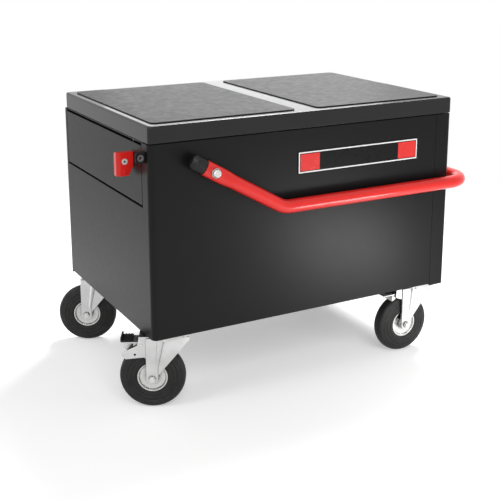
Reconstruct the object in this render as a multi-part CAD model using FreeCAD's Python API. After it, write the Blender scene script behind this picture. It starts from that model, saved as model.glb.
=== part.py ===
import FreeCAD, Part
import math
import os

# Rolling tool cabinet: a steel chest with a lift-up lid, one end drawer, a fold-over
# push handle and four swivel casters. Millimetres, +Z up, floor at Z = 0.
# +X runs along the length, from the drawer end towards the end where the handle is stowed.
# The long face with the plate is at -Y and the lid hinge is at +Y.

# Body
body_length = 900.0
body_depth = 605.0
body_height = 488.0
floor_clearance = 207.0
body_shift = -7.0
sheet = 2.0
front_corner_radius = 14.0
wrap_corner_radius = 10.0
wrap_width = 50.0
wrap_drop = 5.0
seam_gap = 1.0
lap_width = 24.0
lap_end_gap = 34.0
pan_flange = 30.0
corner_slack = 1.0
channel_width = 150.0
channel_height = 25.0
channel_sheet = 3.0
channel_end_gap = 5.0

# Top frame and lid
frame_ledge = 14.0
frame_leg = 26.0
lip_height = 26.0
lid_gap = 3.0
lid_height = 42.0
lid_corner_radius = 8.0
lid_edge_radius = 5.0
lid_back_gap = 0.5
seal_width = 4.0
seal_clearance = 0.3
stiffener_width = 60.0
stiffener_depth = 15.0
stiffener_offset = 220.0
stiffener_end_gap = 34.0
mat_thickness = 2.5
mat_end_margin = 21.0
mat_side_margin = 28.0
mat_strip = 64.0
mat_corner_radius = 14.0

# Lid hinge
hinge_leaf = 2.0
hinge_drop = 33.0
hinge_rise = 26.0
hinge_end_margin = 10.0
knuckle_radius = 5.0
hinge_pin_radius = 2.5
pin_clearance = 0.05
knuckle_count = 15
knuckle_gap = 1.0
knuckle_relief = 0.4
knuckle_seat_gap = 0.5
rivet_count = 7
rivet_radius = 2.0
rivet_head_radius = 4.2
rivet_head_height = 1.6
rivet_tail_radius = 3.2
rivet_tail_height = 2.5
rivet_fit = 0.05

# Drawer
drawer_post_front = 44.0
drawer_post_back = 13.0
drawer_height = 160.0
drawer_sill_radius = 3.0
drawer_sill_depth = 12.0
drawer_front_gap_side = 3.0
drawer_front_gap_bottom = 6.0
drawer_front_gap_top = 8.0
drawer_front_return = 12.0
drawer_front_lip = 20.0
drawer_travel = 290.0
housing_end_gap = 16.0
runner_overlap = 110.0
tray_height = 118.0
tray_lift = 12.0
runner_space = 13.0
runner_height = 36.0
runner_wall = 1.5
runner_bar = 6.0
runner_clearance = 0.4
runner_gap = 2.5
runner_rise = 35.4

# Lock on the drawer
lock_reach = 44.0
lock_thickness = 15.0
lock_height = 58.0
lock_from_front = 97.5
lock_from_drawer_top = 24.0
lock_chamfer_width = 12.0
lock_chamfer_height = 24.0
lock_edge_radius = 2.0
lock_back_wall = 1.5
cylinder_radius = 7.4
cylinder_inset = 22.0
cylinder_drop = 22.5
cylinder_length = 9.0
cylinder_proud = 1.0
cylinder_clearance = 0.05
keyhole_radius = 2.6
crank_radius = 5.5
crank_pin_radius = 1.5
crank_angle = 45.0
crank_clearance = 0.5
crank_pin_root = 1.0
lock_arm_height = 9.0
lock_arm_thickness = 3.0
lock_bolt_radius = 2.5
lock_bolt_clearance = 0.3
lock_bolt_hole_clearance = 1.5
lock_rivet_radius = 4.2
lock_rivet_height = 1.2
lock_rivet_rise = 9.0

# Security eye on the corner post
eye_reach = 25.0
eye_height = 26.0
eye_thickness = 4.0
eye_from_front = 20.0
eye_centre_rise = 141.0
eye_foot = 16.0
eye_corner_radius = 6.0
eyelet_outer = 6.5
eyelet_inner = 4.2
eyelet_flange = 1.0
eyelet_flange_width = 1.5

# Plate on the front
plate_length = 382.0
plate_height = 61.0
plate_thickness = 1.0
plate_from_left = 406.0
plate_rise = 371.0
plate_corner_radius = 2.0
plate_border = 4.0
plate_groove = 0.3

# Handle
handle_tube = 35.0
handle_wall = 2.0
handle_pivot_from_left = 156.0
handle_pivot_rise = 413.0
handle_arm_offset = 25.0
handle_angle = 30.0
handle_bar_drop = 113.0
handle_reach = 50.0
handle_side_bend = 70.0
handle_end_bend = 60.0
handle_flat_width = 39.0
handle_flat_thickness = 26.0
handle_tail = 27.0
handle_flat_end = 26.0
handle_transition = 34.0
handle_plug_depth = 8.0
handle_plug_reach = 40.0
handle_plug_round = 10.0
handle_plug_rim = 0.8
handle_swing = 200.0
pivot_bolt_radius = 6.0
pivot_bush_wall = 2.5
pivot_bush_proud = 0.5
pivot_running = 0.05
pivot_side_play = 0.1
pivot_head_across = 19.0
pivot_head_height = 8.0
pivot_washer_radius = 12.0
pivot_washer = 2.0
pivot_spacer_radius = 15.0
pivot_plate = 3.0
pivot_plate_radius = 25.0
pivot_hole_clearance = 0.1
stop_peg_radius = 7.0
stop_peg_distance = 84.0
stop_plate_radius = 12.0
stop_clearance = 0.3
rest_width = 60.0
rest_sheet = 4.0
rest_foot = 50.0
rest_pad = 4.0
rest_clearance = 0.3

# Casters
swivel_from_end = 64.5
swivel_from_side = 58.0
wheel_diameter = 168.0
wheel_width = 40.0
trail = 40.0
front_left_swing = -28.0
rear_left_swing = -28.0
front_right_swing = 0.0
rear_right_swing = 12.0
top_plate_length = 85.0
top_plate_depth = 105.0
top_plate_thickness = 5.0
top_plate_radius = 8.0
plate_hole_length = 60.0
plate_hole_depth = 80.0
plate_hole_radius = 4.5
plate_bolt_radius = 4.0
plate_bolt_head_radius = 7.5
plate_bolt_head_height = 5.0
plate_nut_height = 6.5
plate_bolt_overhang = 2.0
race_outer = 30.0
race_wall = 3.0
race_height = 5.6
race_gap = 0.2
cage_inner = 12.0
cage_height = 5.2
cup_outer = 36.0
cup_wall = 3.0
cup_gap = 1.0
king_pin_radius = 7.0
king_pin_head_radius = 13.0
king_pin_head_height = 6.0
king_pin_side_play = 0.2
fork_sheet = 4.0
fork_leg = 3.0
fork_inner_gap = 4.0
fork_lead = 56.0
fork_rear = 56.0
fork_toe_radius = 15.0
fork_top_radius = 4.0
fork_lead_radius = 6.0
fork_bridge_gap = 4.0
fork_strip_radius = 3.0
fork_lead_drop = 7.0
fork_strip_width = 29.0
fork_strip_rise = 2.5
fork_bead_radius = 9.0
fork_bead_tip = 3.0
fork_bead_out = 9.0
fork_ear_reach = 76.0
fork_ear_depth = 26.0
fork_ear_slope = 8.0
axle_radius = 6.0
axle_head_radius = 9.0
axle_head_height = 6.0
axle_overhang = 2.0
sleeve_radius = 10.0
axle_clearance = 0.05
hub_radius = 16.0
rim_radius = 38.5
rim_dish = 7.0
rim_dish_step = 1.0
rim_lip = 3.0
rim_slope = 3.0
rim_inset = 1.5
hub_play = 0.5
tyre_side_drop = 4.0
tyre_crown = 3.0
tyre_ring_height = 1.0
tyre_ring_width = 2.5
tyre_rings = (46.0, 56.0, 66.0)
tyre_bead_width = 2.0
tyre_bead_inset = 1.0
tyre_shoulder_width = 7.0
tyre_tread_drop = 9.0
tyre_tread_lift = 0.6
tyre_tread_flat = 4.0

# Brake
brake_pivot_out = 66.0
brake_pivot_drop = 32.0
brake_pin_radius = 3.0
brake_pin_overhang = 1.0
brake_barrel_radius = 6.0
brake_cheek_reach = 116.0
brake_cheek_depth = 70.0
brake_cheek_drop = 54.0
brake_cheek_step = 34.0
brake_cheek_rise = 5.0
brake_cheek_round = 3.0
brake_cheek_hole = 3.0
brake_cheek_hole_out = 16.0
brake_cheek_hole_rise = 12.0
brake_play = 1.0
brake_pedal_sheet = 3.0
brake_pedal_short = 3.0
brake_pad_start = 88.0
brake_pad_reach = 118.0
brake_pad_thickness = 8.0
brake_pad_side = 1.0
brake_tip_width = 4.0
brake_rib_start = 4.0
brake_rib_pitch = 7.0
brake_rib_width = 2.5
brake_rib_count = 3
brake_tip_height = 11.0
brake_shoe_play = 1.5
brake_shoe_start = 74.0
brake_shoe_end = 86.0
brake_shoe_side = 2.0
brake_swing = 8.0

# Places worked out from the sizes
left = body_shift - body_length / 2
right = body_shift + body_length / 2
front = -body_depth / 2
back = body_depth / 2
bottom = floor_clearance
brake_pivot_height = bottom - brake_pivot_drop
brake_cheek_low = bottom - brake_cheek_depth
brake_cheek_top = bottom - brake_cheek_drop
top = bottom + body_height
seam_x = right - wrap_width
lid_bottom = top + lid_gap
lid_top = lid_bottom + lid_height
hinge_y = back + hinge_leaf - knuckle_radius
hinge_z = top + knuckle_seat_gap + knuckle_radius
lid_back = hinge_y - knuckle_radius - lid_back_gap
frame_left = left + sheet
frame_right = right - sheet
frame_front = front + sheet
frame_back = back - sheet
inner_radius = front_corner_radius - sheet + corner_slack
opening_front = front + drawer_post_front
opening_back = back - drawer_post_back
opening_bottom = top - drawer_height
pivot_x = left + handle_pivot_from_left
pivot_z = bottom + handle_pivot_rise
arm_y = front - handle_arm_offset
bar_x = right + handle_reach
bar_z = pivot_z - handle_bar_drop
wheel_radius = wheel_diameter / 2


def vec(x, y, z):
    return FreeCAD.Vector(x, y, z)


X_AXIS = vec(1, 0, 0)
Y_AXIS = vec(0, 1, 0)
Z_AXIS = vec(0, 0, 1)


def box(x0, x1, y0, y1, z0, z1):
    return Part.makeBox(x1 - x0, y1 - y0, z1 - z0, vec(x0, y0, z0))


def rod(start, axis, radius, length):
    return Part.makeCylinder(radius, length, start, axis)


def tube_piece(start, axis, outer, inner, length):
    return rod(start, axis, outer, length).cut(rod(start, axis, inner, length))


def fuse(shapes):
    joined = shapes[0]
    if len(shapes) > 1:
        joined = joined.multiFuse(shapes[1:])
    return joined.removeSplitter()


def cut(shape, tools):
    for tool in tools:
        shape = shape.cut(tool)
    return shape


def hexagon(start, axis, across, height):
    radius = across / math.sqrt(3)
    points = [vec(radius * math.cos(math.radians(60 * i)), radius * math.sin(math.radians(60 * i)), 0)
              for i in range(7)]
    solid = Part.Face(Part.makePolygon(points)).extrude(vec(0, 0, height))
    solid.Placement = FreeCAD.Placement(start, FreeCAD.Rotation(Z_AXIS, axis))
    return solid


def rounded_path(points, radii):
    """Edges through the points, with an arc of the given radius at each inner point."""
    edges = []
    last = points[0]
    for i in range(1, len(points) - 1):
        into = (points[i] - points[i - 1]).normalize()
        away = (points[i + 1] - points[i]).normalize()
        turn = into.getAngle(away)
        radius = radii[i - 1]
        if radius <= 0 or turn < 1e-6:
            edges.append(Part.LineSegment(last, points[i]).toShape())
            last = points[i]
            continue
        run = radius * math.tan(turn / 2)
        start = points[i] - into * run
        end = points[i] + away * run
        inward = (away - into).normalize()
        centre = points[i] + inward * (radius / math.cos(turn / 2))
        middle = centre - inward * radius
        edges.append(Part.LineSegment(last, start).toShape())
        edges.append(Part.Arc(start, middle, end).toShape())
        last = end
    edges.append(Part.LineSegment(last, points[-1]).toShape())
    return edges


def bent_sheet(points, radii, thickness, z0, z1):
    """A folded sheet. The points follow its outer face, with the metal on their left."""
    flat = [vec(x, y, z0) for x, y in points]
    sides = []
    for i in range(len(flat) - 1):
        along = (flat[i + 1] - flat[i]).normalize()
        sides.append(vec(-along.y, along.x, 0))
    inner = [flat[0] + sides[0] * thickness]
    inner_radii = []
    for i in range(1, len(flat) - 1):
        before, after = sides[i - 1], sides[i]
        inner.append(flat[i] + (before + after) * (thickness / (1 + before.dot(after))))
        left_turn = before.cross(after).z > 0
        inner_radii.append(radii[i - 1] - thickness if left_turn else radii[i - 1] + thickness)
    inner.append(flat[-1] + sides[-1] * thickness)
    edges = rounded_path(flat, radii)
    edges.append(Part.LineSegment(flat[-1], inner[-1]).toShape())
    edges += rounded_path(inner[::-1], inner_radii[::-1])
    edges.append(Part.LineSegment(inner[0], flat[0]).toShape())
    face = Part.Face(Part.Wire(Part.__sortEdges__(edges)))
    return face.extrude(vec(0, 0, z1 - z0))


def rounded_block(x0, x1, y0, y1, z0, z1, radius):
    """An upright block whose four vertical edges are rounded."""
    middle = (x0 + x1) / 2
    points = [vec(middle, y0, z0), vec(x1, y0, z0), vec(x1, y1, z0), vec(x0, y1, z0), vec(x0, y0, z0),
              vec(middle, y0, z0)]
    wire = Part.Wire(rounded_path(points, [radius] * 4))
    return Part.Face(wire).extrude(vec(0, 0, z1 - z0))


def frame_ring(inset, width, z0, z1):
    """A ring that follows the inside of the body walls, inset from them."""
    rings = []
    for step in (inset, inset + width):
        radius = max(inner_radius - step, corner_slack)
        rings.append(rounded_block(frame_left + step, frame_right - step, frame_front + step,
                                   frame_back - step, z0, z1, radius))
    return rings[0].cut(rings[1])


def outline_xz(points, radii, y0, y1):
    """A plate in the XZ plane from a closed outline. The first point lies on a straight side."""
    corners = [vec(x, y0, z) for x, z in points]
    wire = Part.Wire(rounded_path(corners + [corners[0]], radii))
    return Part.Face(wire).extrude(vec(0, y1 - y0, 0))


def revolved(points, axis_point, axis):
    """A solid of revolution about an axis along Y, from points given as (radius, offset)."""
    corners = [axis_point + X_AXIS * radius + Y_AXIS * offset for radius, offset in points]
    face = Part.Face(Part.makePolygon(corners + [corners[0]]))
    return face.revolve(axis_point, axis, 360)


def mirror_y(shape):
    return shape.mirror(vec(0, 0, 0), Y_AXIS)


def rivet(start, axis, grip):
    """A blind rivet: head at the start, tail behind the grip."""
    head = rod(start - axis * rivet_head_height, axis, rivet_head_radius, rivet_head_height)
    shank = rod(start, axis, rivet_radius, grip)
    tail = rod(start + axis * grip, axis, rivet_tail_radius, rivet_tail_height)
    return fuse([head, shank, tail])


def rivet_hole(start, axis, grip):
    return rod(start - axis * 1.0, axis, rivet_radius + rivet_fit, grip + 2.0)


nodes = {}

# Casters: frame of reference, with the trail along local +X from the swivel axis at the origin
caster_places = {
    "front_left": (left + swivel_from_end, front + swivel_from_side, 180.0 + front_left_swing),
    "rear_left": (left + swivel_from_end, back - swivel_from_side, 180.0 + rear_left_swing),
    "front_right": (right - swivel_from_end, front + swivel_from_side, 180.0 + front_right_swing),
    "rear_right": (right - swivel_from_end, back - swivel_from_side, 180.0 + rear_right_swing),
}
braked = ("front_left", "front_right")
cheeked = ("front_left",)
plate_low = bottom - top_plate_thickness
cup_height = race_height + race_gap - cup_gap
race_low = plate_low - race_height
fork_top = race_low - race_gap
fork_under = fork_top - fork_sheet
leg_inside = wheel_width / 2 + fork_inner_gap
leg_outside = leg_inside + fork_leg
leg_face = leg_outside + fork_strip_rise


def plate_hole_points():
    """Where the plate bolts of all casters stand."""
    points = []
    for x, y, angle in caster_places.values():
        for along in (-plate_hole_length / 2, plate_hole_length / 2):
            for across in (-plate_hole_depth / 2, plate_hole_depth / 2):
                points.append((x + along, y + across))
    return points


plate_holes = [rod(vec(x, y, plate_low - 1), Z_AXIS, plate_hole_radius,
                   top_plate_thickness + sheet + channel_sheet + 2) for x, y in plate_hole_points()]


def hinge_rivet_xs():
    span = body_length - 4 * hinge_end_margin
    pitch = span / (rivet_count - 1)
    return [left + 2 * hinge_end_margin + i * pitch for i in range(rivet_count)]


body_rivet_z = top - hinge_drop * 0.6
lid_rivet_z = hinge_z + hinge_rise * 0.6
body_rivet_starts = [vec(x, back + hinge_leaf, body_rivet_z) for x in hinge_rivet_xs()]
lid_rivet_starts = [vec(x, lid_back + hinge_leaf, lid_rivet_z) for x in hinge_rivet_xs()]
body_rivet_grip = hinge_leaf + 2 * sheet
lid_rivet_grip = hinge_leaf + sheet
body_rivet_holes = [rivet_hole(p, -Y_AXIS, body_rivet_grip) for p in body_rivet_starts]
lid_rivet_holes = [rivet_hole(p, -Y_AXIS, lid_rivet_grip) for p in lid_rivet_starts]
pivot_holes = [rod(vec(pivot_x, side * (body_depth / 2 + 1), pivot_z), Y_AXIS * -side,
                   pivot_bolt_radius + pivot_hole_clearance, sheet + 2) for side in (-1, 1)]


def make_front_left_panel():
    """Front wall and drawer-end wall, folded from one sheet."""
    walls = bent_sheet([(left, back - sheet), (left, front), (seam_x - seam_gap / 2, front)],
                       [front_corner_radius], sheet, bottom, top)
    lap = box(seam_x - lap_width / 2, seam_x + lap_width, front + sheet, front + 2 * sheet,
              bottom + lap_end_gap, top - lap_end_gap)
    back_flange = box(left + sheet, left + sheet + lap_width, back - 2 * sheet, back - sheet,
                      bottom + lap_end_gap, opening_bottom - lap_end_gap)
    opening = box(left - 1, left + 2 * sheet, opening_front, opening_back, opening_bottom, top + 1)
    sill = box(left, left + drawer_sill_depth, opening_front, opening_back,
               opening_bottom - sheet, opening_bottom)
    nose = [e for e in sill.Edges if abs(e.CenterOfMass.x - left) < 1e-6
            and abs(e.CenterOfMass.z - opening_bottom) < 1e-6]
    sill = sill.makeFillet(min(drawer_sill_radius, sheet * 0.9), nose)
    below_sill = box(left - 1, left + sheet + 1, opening_front, opening_back,
                     opening_bottom - sheet, opening_bottom)
    panel = cut(fuse([walls, lap, back_flange]), [opening, below_sill] + pivot_holes)
    return fuse([panel, sill])


def make_back_right_panel():
    """Back wall and handle-end wall, with a strip wrapped round onto the front."""
    walls = bent_sheet([(seam_x + seam_gap / 2, front), (right, front), (right, back), (left, back)],
                       [wrap_corner_radius, wrap_corner_radius], sheet, bottom - wrap_drop, top)
    low = bottom - wrap_drop
    trim = outline_xz([(body_shift, low), (right, low), (right, top), (left, top), (left, low)],
                      [wrap_drop + corner_slack, 0, 0, 0], front - 1, back + 1)
    return cut(walls.common(trim), body_rivet_holes + pivot_holes)


def make_floor_pan():
    """Floor sheet with its edges turned up inside the walls."""
    outer = rounded_block(frame_left, frame_right, frame_front, frame_back, bottom,
                          bottom + pan_flange, inner_radius)
    inner = rounded_block(frame_left + sheet, frame_right - sheet, frame_front + sheet,
                          frame_back - sheet, bottom + sheet, bottom + pan_flange + 1,
                          inner_radius - sheet)
    return cut(outer.cut(inner), plate_holes)


def make_base_channel(x):
    """Channel across the floor that the caster plates are bolted through."""
    y0 = frame_front + sheet + channel_end_gap
    y1 = frame_back - sheet - channel_end_gap
    x0, x1 = x - channel_width / 2, x + channel_width / 2
    x0 = max(x0, frame_left + sheet + channel_end_gap)
    x1 = min(x1, frame_right - sheet - channel_end_gap)
    z0 = bottom + sheet
    web = box(x0, x1, y0, y1, z0, z0 + channel_sheet)
    sides = [box(x0, x0 + channel_sheet, y0, y1, z0, z0 + channel_height),
             box(x1 - channel_sheet, x1, y0, y1, z0, z0 + channel_height)]
    return cut(fuse([web] + sides), plate_holes)


bolt_x = left + sheet + drawer_front_return / 2
lock_front = front + lock_from_front
lock_back = lock_front + lock_thickness
lock_top = top - drawer_front_gap_top - lock_from_drawer_top
cylinder_x = left - cylinder_inset
cylinder_z = lock_top - cylinder_drop
bolt_travel = 2 * crank_radius * math.sin(math.radians(crank_angle))
crank_x = cylinder_x + crank_radius * math.cos(math.radians(crank_angle))
crank_z = cylinder_z - crank_radius * math.sin(math.radians(crank_angle))
arm_y0 = lock_front - cylinder_proud + cylinder_length + cylinder_proud + crank_clearance
arm_y1 = arm_y0 + lock_arm_thickness
bolt_y = (arm_y0 + arm_y1) / 2
keeper_half = lock_bolt_radius + lock_bolt_hole_clearance


def frame_strips(inset, width, z0, z1):
    """Front, back, right and left strip round the mouth, butted at the corners."""
    x0, x1 = frame_left + inset, frame_right - inset
    y0, y1 = frame_front + inset, frame_back - inset
    block = rounded_block(x0, x1, y0, y1, z0, z1, max(inner_radius - inset, corner_slack))
    regions = [box(x0, x1, y0, y0 + width, z0, z1), box(x0, x1, y1 - width, y1, z0, z1),
               box(x1 - width, x1, y0 + width, y1 - width, z0, z1),
               box(x0, x0 + width, y0 + width, y1 - width, z0, z1)]
    return [block.common(region) for region in regions]


def make_top_frame():
    """Welded frame round the mouth: a leg on three walls, a ledge and an upright lip."""
    ledge_width = frame_ledge - sheet
    front_ledge, back_ledge, right_ledge, left_ledge = frame_strips(0, ledge_width, top - sheet, top)
    x0, x1 = frame_left, frame_left + ledge_width
    bar_y0, bar_y1 = bolt_y - keeper_half, bolt_y + keeper_half
    keeper = [left_ledge.common(box(x0, x1, front, bar_y0, top - sheet, top)),
              left_ledge.common(box(x0, x1, bar_y1, back, top - sheet, top)),
              box(x0, bolt_x - keeper_half, bar_y0, bar_y1, top - sheet, top),
              box(bolt_x + keeper_half, x1, bar_y0, bar_y1, top - sheet, top)]
    lip = frame_strips(ledge_width, sheet, top - sheet, top + lip_height)
    drawer_side = box(left, left + frame_ledge, front, back, top - frame_leg - 1, top)
    leg = [strip.cut(drawer_side) for strip in frame_strips(0, sheet, top - frame_leg, top - sheet)[:3]]
    leg[1] = cut(leg[1], body_rivet_holes)
    return Part.makeCompound([front_ledge, back_ledge, right_ledge] + keeper + lip + leg)


def make_lid_seal():
    """Rubber strip on the lip, just under the closed lid."""
    inset = frame_ledge - sheet / 2 - seal_width / 2
    return frame_ring(inset, seal_width, top + lip_height, lid_top - sheet - seal_clearance)


tray_length = drawer_travel + runner_overlap
runner_length = tray_length
housing_length = drawer_front_return + tray_length + housing_end_gap + sheet


def make_drawer_housing():
    """Sheet box that the drawer slides in, hung under the top frame."""
    x0 = left + sheet
    x1 = x0 + housing_length
    y0, y1 = opening_front - sheet, opening_back + sheet
    z0, z1 = opening_bottom - 2 * sheet, top - sheet
    floor = box(x0, x1, y0, y1, z0, z0 + sheet)
    near = box(x0, x1, y0, y0 + sheet, z0, z1)
    far = box(x0, x1, y1 - sheet, y1, z0, z1)
    end = box(x1 - sheet, x1, y0, y1, z0, z1)
    roof = box(left + sheet + frame_ledge + sheet, x1, y0, y1, z1 - sheet, z1)
    return fuse([floor, near, far, end, roof])


def knuckle_spans(moving):
    """Start and length of each knuckle of the fixed or the moving leaf."""
    length = body_length - 2 * hinge_end_margin
    pitch = length / knuckle_count
    first = 1 if moving else 0
    return [(left + hinge_end_margin + i * pitch + knuckle_gap / 2, pitch - knuckle_gap)
            for i in range(first, knuckle_count, 2)]


def make_hinge_leaf(moving):
    """One leaf of the long hinge, with its rolled knuckles."""
    x0 = left + hinge_end_margin
    x1 = right - hinge_end_margin
    if moving:
        plate = box(x0, x1, lid_back, lid_back + hinge_leaf, hinge_z, hinge_z + hinge_rise)
        holes = lid_rivet_holes
    else:
        plate = box(x0, x1, back, back + hinge_leaf, top - hinge_drop, hinge_z)
        holes = body_rivet_holes
    relief = [rod(vec(x - knuckle_gap, hinge_y, hinge_z), X_AXIS, knuckle_radius + knuckle_relief,
                  length + 2 * knuckle_gap) for x, length in knuckle_spans(not moving)]
    plate = cut(plate, relief + holes)
    rolls = [rod(vec(x, hinge_y, hinge_z), X_AXIS, knuckle_radius, length)
             for x, length in knuckle_spans(moving)]
    bore = rod(vec(left, hinge_y, hinge_z), X_AXIS, hinge_pin_radius + pin_clearance, body_length)
    return fuse([plate] + rolls).cut(bore)


def make_lid_pan():
    """Lid pressed from one sheet, with its four sides turned down."""
    outer = rounded_block(left, right, front, lid_back, lid_bottom, lid_top, lid_corner_radius)
    rim = [e for e in outer.Edges if e.BoundBox.ZMin > lid_top - 1e-6]
    outer = outer.makeFillet(lid_edge_radius, rim)
    inner = rounded_block(left + sheet, right - sheet, front + sheet, lid_back - sheet,
                          lid_bottom - 1, lid_top - sheet, lid_corner_radius - sheet)
    rim = [e for e in inner.Edges if e.BoundBox.ZMin > lid_top - sheet - 1e-6]
    inner = inner.makeFillet(lid_edge_radius - sheet, rim)
    return cut(outer.cut(inner), lid_rivet_holes)


def make_lid_stiffener(x):
    """Hat channel under the lid."""
    y0 = front + stiffener_end_gap
    y1 = lid_back - stiffener_end_gap
    z1 = lid_top - sheet
    flange = (stiffener_width - 2 * stiffener_depth) / 4
    half = stiffener_width / 2
    hat = box(x - half, x + half, y0, y1, z1 - stiffener_depth, z1)
    hollow = box(x - half + flange + sheet, x + half - flange - sheet, y0 - 1, y1 + 1,
                 z1 - stiffener_depth + sheet, z1 + 1)
    trims = [box(x - half - 1, x - half + flange, y0 - 1, y1 + 1, z1 - stiffener_depth - 1, z1 - sheet),
             box(x + half - flange, x + half + 1, y0 - 1, y1 + 1, z1 - stiffener_depth - 1, z1 - sheet)]
    return cut(hat, [hollow] + trims)


def make_mat(side):
    """Rubber mat on one half of the lid."""
    inner_x = body_shift + side * mat_strip / 2
    outer_x = body_shift + side * (body_length / 2 - mat_end_margin)
    return rounded_block(min(inner_x, outer_x), max(inner_x, outer_x), front + mat_side_margin,
                         lid_back - mat_side_margin, lid_top, lid_top + mat_thickness, mat_corner_radius)


drawer_front_y0 = opening_front + drawer_front_gap_side
drawer_front_y1 = opening_back - drawer_front_gap_side
drawer_front_z0 = opening_bottom + drawer_front_gap_bottom
drawer_front_z1 = top - drawer_front_gap_top
arm_low = crank_z - lock_arm_height / 2
slot_low = arm_low - lock_bolt_clearance
slot_high = arm_low + lock_arm_height + bolt_travel + lock_bolt_clearance
cavity_x0 = cylinder_x - crank_radius - 2 * crank_pin_radius - crank_clearance


def make_drawer_front():
    """Drawer face, folded back on all four sides, with lips that the tray is fixed to."""
    rear = left + sheet + drawer_front_return
    face = box(left, rear, drawer_front_y0, drawer_front_y1, drawer_front_z0, drawer_front_z1)
    hollow = box(left + sheet, rear - sheet, drawer_front_y0 + sheet, drawer_front_y1 - sheet,
                 drawer_front_z0 + sheet, drawer_front_z1 - sheet)
    window = box(left + sheet, rear + 1, drawer_front_y0 + sheet + drawer_front_lip,
                 drawer_front_y1 - sheet - drawer_front_lip, drawer_front_z0 + sheet + drawer_front_lip,
                 drawer_front_z1 - sheet - drawer_front_lip)
    slot = box(left - 1, left + sheet + 1, arm_y0 - lock_bolt_clearance, arm_y1 + lock_bolt_clearance,
               slot_low, slot_high)
    guide = rod(vec(bolt_x, bolt_y, drawer_front_z1 - 2 * sheet), Z_AXIS,
                lock_bolt_radius + lock_bolt_clearance, 4 * sheet)
    return cut(face, [hollow, window, slot, guide])


def make_tray():
    """Open box of the drawer."""
    x0 = left + sheet + drawer_front_return
    x1 = x0 + tray_length
    y0 = opening_front + runner_space
    y1 = opening_back - runner_space
    z0 = drawer_front_z0 + tray_lift
    outer = box(x0, x1, y0, y1, z0, z0 + tray_height)
    inner = box(x0 + sheet, x1 - sheet, y0 + sheet, y1 - sheet, z0 + sheet, z0 + tray_height + 1)
    return outer.cut(inner)


runner_x0 = left + sheet + drawer_front_return + 2 * sheet
runner_z0 = drawer_front_z0 + tray_lift + runner_rise
runner_z1 = runner_z0 + runner_height


def make_runners_fixed():
    """The two channel rails on the housing sides."""
    y0 = opening_front
    channel = box(runner_x0, runner_x0 + runner_length, y0, y0 + runner_space - runner_gap,
                  runner_z0, runner_z1)
    hollow = box(runner_x0 - 1, runner_x0 + runner_length + 1, y0 + runner_wall, y0 + runner_space,
                 runner_z0 + runner_wall, runner_z1 - runner_wall)
    rail = channel.cut(hollow)
    middle = (opening_front + opening_back) / 2
    other = rail.mirror(vec(0, middle, 0), Y_AXIS)
    return Part.makeCompound([rail, other])


def make_runners_moving():
    """The two bars on the drawer box that run inside the fixed rails."""
    y1 = opening_front + runner_space
    y0 = y1 - runner_gap - runner_bar
    z0 = runner_z0 + runner_wall + runner_clearance
    z1 = runner_z1 - runner_wall - runner_clearance
    bar = box(runner_x0, runner_x0 + runner_length - 2 * drawer_front_return, y0, y1 - runner_gap,
              z0, z1)
    neck = box(runner_x0, runner_x0 + runner_length - 2 * drawer_front_return, y1 - runner_gap, y1,
               z0 + runner_bar, z1 - runner_bar)
    rail = fuse([bar, neck])
    middle = (opening_front + opening_back) / 2
    other = rail.mirror(vec(0, middle, 0), Y_AXIS)
    return Part.makeCompound([rail, other])


def make_lock_housing():
    """Block that stands out from the drawer face and carries the key cylinder."""
    x0, x1 = left - lock_reach, left
    z0, z1 = lock_top - lock_height, lock_top
    mid = (x0 + x1) / 2
    points = [(mid, z1), (x0, z1), (x0, z0), (x1 - lock_chamfer_width, z0),
              (x1, z0 + lock_chamfer_height), (x1, z1)]
    block = outline_xz(points, [lock_edge_radius * 1.5, lock_edge_radius * 2, lock_edge_radius * 2, 0, 0],
                       lock_front, lock_back)
    bore = rod(vec(cylinder_x, lock_front - 1, cylinder_z), Y_AXIS, cylinder_radius + cylinder_clearance,
               cylinder_length + 1 + crank_clearance)
    cavity = box(cavity_x0, left + 1, arm_y0 - crank_clearance, lock_back - lock_back_wall,
                 slot_low - lock_bolt_clearance, slot_high + lock_bolt_clearance)
    return cut(block, [bore, cavity])


def make_lock_cylinder():
    """Key cylinder with a crank pin at its inner end."""
    face_y = lock_front - cylinder_proud
    barrel = rod(vec(cylinder_x, face_y, cylinder_z), Y_AXIS, cylinder_radius,
                 cylinder_length + cylinder_proud)
    keyhole = rod(vec(cylinder_x, face_y - 1, cylinder_z), Y_AXIS, keyhole_radius, cylinder_length / 2)
    pin = rod(vec(crank_x, face_y + cylinder_proud + cylinder_length - crank_pin_root, crank_z), Y_AXIS,
              crank_pin_radius, crank_pin_root + crank_clearance + lock_arm_thickness)
    return fuse([barrel.cut(keyhole), pin])


def make_lock_bolt():
    """Arm that the crank lifts, and the upright bolt that enters the top frame."""
    play = crank_pin_radius + lock_bolt_clearance
    arm = box(cavity_x0 + crank_clearance, bolt_x + lock_bolt_radius / 2, arm_y0, arm_y1,
              arm_low, arm_low + lock_arm_height)
    window = box(crank_x - play, cylinder_x + crank_radius + play, arm_y0 - 1, arm_y1 + 1,
                 crank_z - play, crank_z + play)
    arm_high = arm_low + lock_arm_height
    bolt = rod(vec(bolt_x, bolt_y, arm_high), Z_AXIS, lock_bolt_radius, top - 2 * sheet - arm_high)
    return Part.makeCompound([arm.cut(window), bolt])


def make_lock_rivet():
    """Domed rivet on the face of the lock block."""
    centre = vec(cylinder_x, lock_front, lock_top - lock_height + lock_rivet_rise)
    disc = rod(centre - Y_AXIS * lock_rivet_height, Y_AXIS, lock_rivet_radius, lock_rivet_height)
    edge = [e for e in disc.Edges if e.CenterOfMass.y < centre.y - lock_rivet_height + 1e-6]
    return disc.makeFillet(lock_rivet_height * 0.7, edge)


eye_y0 = front + eye_from_front
eye_z = opening_bottom + eye_centre_rise - eye_height / 2
eye_centre = vec(left - eye_reach / 2, eye_y0, eye_z)


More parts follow.
